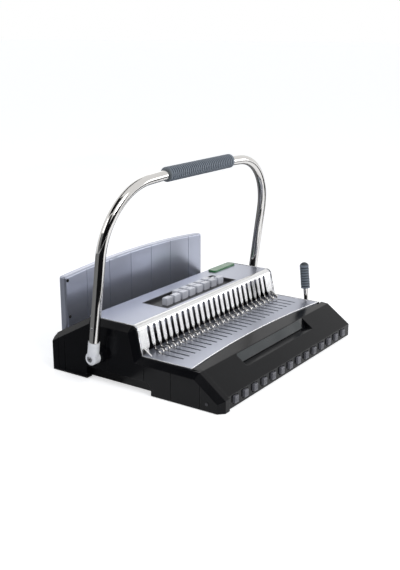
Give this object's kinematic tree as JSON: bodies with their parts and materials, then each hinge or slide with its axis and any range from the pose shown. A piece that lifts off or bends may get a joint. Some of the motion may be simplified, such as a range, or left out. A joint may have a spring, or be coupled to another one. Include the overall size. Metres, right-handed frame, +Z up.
{
  "type": "comb punching and binding machine",
  "caption": "Desktop comb punch and binder with a loop handle, a rake with opening hooks, a comb lever, selector keys and pulls, a chip drawer and a hinged rear cover.",
  "frame": {"origin": "under the middle of the whole machine's box, on the table", "axes": "+X to the right along the rake, +Y to the rear cover, +Z up"},
  "size_m": [0.4544, 0.309, 0.3086],
  "materials": {
    "black_plastic": "satin moulded",
    "black_steel": "satin black",
    "feet_rubber": "matte",
    "silver_paint": "satin metallic",
    "chrome": "polished",
    "grip_rubber": "ribbed, matte",
    "socket_silver": "satin",
    "tray_plastic": "satin",
    "recess_grey": "smooth",
    "key_silver": "satin",
    "pull_grey": "satin",
    "machined_steel": "machined",
    "screw_steel": "plain"
  },
  "bodies": {
    "base": {"base_pan": "black_steel", "rubber_feet": "feet_rubber", "left_side_panel": "black_plastic", "right_side_panel": "black_plastic", "upper_deck": "silver_paint", "lower_deck": "silver_paint", "comb_plate": "chrome", "nose_panel": "black_plastic", "recess_panel": "recess_grey", "key_tray": "tray_plastic", "punch_guide": "machined_steel", "die_plate": "machined_steel", "cover_hinge_pins": "machined_steel", "rear_trough": "black_plastic", "case_screws": "screw_steel"},
    "handle": {"handle_bar": "chrome", "handle_grip": "grip_rubber", "left_handle_socket": "socket_silver", "right_handle_socket": "socket_silver", "hub_screws": "screw_steel", "drive_shaft": "machined_steel", "drive_pinions": "machined_steel"},
    "punch": {"punch_beam": "machined_steel", "punch_pins": "machined_steel"},
    "comb_lever": {"lever_rod": "chrome", "lever_grip": "grip_rubber", "lever_shaft": "machined_steel", "lever_gears": "machined_steel"},
    "hook_bar": {"hook_carriage": "machined_steel", "comb_hooks": "chrome"},
    "cover": {"rear_cover": "silver_paint"},
    "drawer": {"chip_drawer": "black_plastic"},
    "key_01": {"selector_key_01": "key_silver"},
    "key_02": {"selector_key_02": "key_silver"},
    "key_03": {"selector_key_03": "key_silver"},
    "key_04": {"selector_key_04": "key_silver"},
    "key_05": {"selector_key_05": "key_silver"},
    "key_06": {"selector_key_06": "key_silver"},
    "key_07": {"selector_key_07": "key_silver"},
    "key_08": {"selector_key_08": "key_silver"},
    "key_09": {"selector_key_09": "key_silver"},
    "key_10": {"selector_key_10": "key_silver"},
    "key_11": {"selector_key_11": "key_silver"},
    "key_12": {"selector_key_12": "key_silver"},
    "key_13": {"selector_key_13": "key_silver"},
    "key_14": {"selector_key_14": "key_silver"},
    "pull_01": {"selector_pull_01": "pull_grey"},
    "pull_02": {"selector_pull_02": "pull_grey"},
    "pull_03": {"selector_pull_03": "pull_grey"},
    "pull_04": {"selector_pull_04": "pull_grey"},
    "pull_05": {"selector_pull_05": "pull_grey"},
    "pull_06": {"selector_pull_06": "pull_grey"},
    "pull_07": {"selector_pull_07": "pull_grey"},
    "pull_08": {"selector_pull_08": "pull_grey"},
    "pull_09": {"selector_pull_09": "pull_grey"},
    "pull_10": {"selector_pull_10": "pull_grey"},
    "pull_11": {"selector_pull_11": "pull_grey"},
    "pull_12": {"selector_pull_12": "pull_grey"},
    "pull_13": {"selector_pull_13": "pull_grey"},
    "pull_14": {"selector_pull_14": "pull_grey"}
  },
  "joints": [
    {"name": "handle_swing", "type": "hinge", "parent": "base", "child": "handle", "pos_m": [0, 0.0572, 0.045], "axis": [1, 0, 0], "range_deg": [0, 44], "stiffness_Nm_per_rad": 1.6, "springref_deg": -20.05},
    {"name": "punch_slide", "type": "slide", "parent": "base", "child": "punch", "axis": [0, 1, 0], "range_m": [0, 0.0078]},
    {"name": "lever_swing", "type": "hinge", "parent": "base", "child": "comb_lever", "pos_m": [0.2083, -0.0675, 0.019], "axis": [1, 0, 0], "range_deg": [0, 80]},
    {"name": "hook_slide", "type": "slide", "parent": "base", "child": "hook_bar", "axis": [0, -1, 0], "range_m": [0, 0.032]},
    {"name": "cover_hinge", "type": "hinge", "parent": "base", "child": "cover", "pos_m": [0, 0.1035, 0.0695], "axis": [1, 0, 0], "range_deg": [0, 90]},
    {"name": "drawer_slide", "type": "slide", "parent": "base", "child": "drawer", "axis": [0, 1, 0], "range_m": [0, 0.05]},
    {"name": "key_01_slide", "type": "slide", "parent": "base", "child": "key_01", "axis": [0, 0, 1], "range_m": [-0.004, 0]},
    {"name": "key_02_slide", "type": "slide", "parent": "base", "child": "key_02", "axis": [0, 0, 1], "range_m": [-0.004, 0]},
    {"name": "key_03_slide", "type": "slide", "parent": "base", "child": "key_03", "axis": [0, 0, 1], "range_m": [-0.004, 0]},
    {"name": "key_04_slide", "type": "slide", "parent": "base", "child": "key_04", "axis": [0, 0, 1], "range_m": [-0.004, 0]},
    {"name": "key_05_slide", "type": "slide", "parent": "base", "child": "key_05", "axis": [0, 0, 1], "range_m": [-0.004, 0]},
    {"name": "key_06_slide", "type": "slide", "parent": "base", "child": "key_06", "axis": [0, 0, 1], "range_m": [-0.004, 0]},
    {"name": "key_07_slide", "type": "slide", "parent": "base", "child": "key_07", "axis": [0, 0, 1], "range_m": [-0.004, 0]},
    {"name": "key_08_slide", "type": "slide", "parent": "base", "child": "key_08", "axis": [0, 0, 1], "range_m": [-0.004, 0]},
    {"name": "key_09_slide", "type": "slide", "parent": "base", "child": "key_09", "axis": [0, 0, 1], "range_m": [-0.004, 0]},
    {"name": "key_10_slide", "type": "slide", "parent": "base", "child": "key_10", "axis": [0, 0, 1], "range_m": [-0.004, 0]},
    {"name": "key_11_slide", "type": "slide", "parent": "base", "child": "key_11", "axis": [0, 0, 1], "range_m": [-0.004, 0]},
    {"name": "key_12_slide", "type": "slide", "parent": "base", "child": "key_12", "axis": [0, 0, 1], "range_m": [-0.004, 0]},
    {"name": "key_13_slide", "type": "slide", "parent": "base", "child": "key_13", "axis": [0, 0, 1], "range_m": [-0.004, 0]},
    {"name": "key_14_slide", "type": "slide", "parent": "base", "child": "key_14", "axis": [0, 0, 1], "range_m": [0, 0.004]},
    {"name": "pull_01_slide", "type": "slide", "parent": "base", "child": "pull_01", "axis": [0, -1, 0], "range_m": [0, 0.006]},
    {"name": "pull_02_slide", "type": "slide", "parent": "base", "child": "pull_02", "axis": [0, -1, 0], "range_m": [0, 0.006]},
    {"name": "pull_03_slide", "type": "slide", "parent": "base", "child": "pull_03", "axis": [0, -1, 0], "range_m": [0, 0.006]},
    {"name": "pull_04_slide", "type": "slide", "parent": "base", "child": "pull_04", "axis": [0, -1, 0], "range_m": [0, 0.006]},
    {"name": "pull_05_slide", "type": "slide", "parent": "base", "child": "pull_05", "axis": [0, -1, 0], "range_m": [0, 0.006]},
    {"name": "pull_06_slide", "type": "slide", "parent": "base", "child": "pull_06", "axis": [0, -1, 0], "range_m": [0, 0.006]},
    {"name": "pull_07_slide", "type": "slide", "parent": "base", "child": "pull_07", "axis": [0, -1, 0], "range_m": [0, 0.006]},
    {"name": "pull_08_slide", "type": "slide", "parent": "base", "child": "pull_08", "axis": [0, -1, 0], "range_m": [0, 0.006]},
    {"name": "pull_09_slide", "type": "slide", "parent": "base", "child": "pull_09", "axis": [0, -1, 0], "range_m": [0, 0.006]},
    {"name": "pull_10_slide", "type": "slide", "parent": "base", "child": "pull_10", "axis": [0, -1, 0], "range_m": [0, 0.006]},
    {"name": "pull_11_slide", "type": "slide", "parent": "base", "child": "pull_11", "axis": [0, -1, 0], "range_m": [0, 0.006]},
    {"name": "pull_12_slide", "type": "slide", "parent": "base", "child": "pull_12", "axis": [0, -1, 0], "range_m": [0, 0.006]},
    {"name": "pull_13_slide", "type": "slide", "parent": "base", "child": "pull_13", "axis": [0, -1, 0], "range_m": [0, 0.006]},
    {"name": "pull_14_slide", "type": "slide", "parent": "base", "child": "pull_14", "axis": [0, -1, 0], "range_m": [0, 0.006]}
  ],
  "couplings": [
    {"joint": "punch_slide", "follows": "handle_swing", "m_per_rad": 0.01},
    {"joint": "hook_slide", "follows": "lever_swing", "m_per_rad": 0.0225}
  ]
}
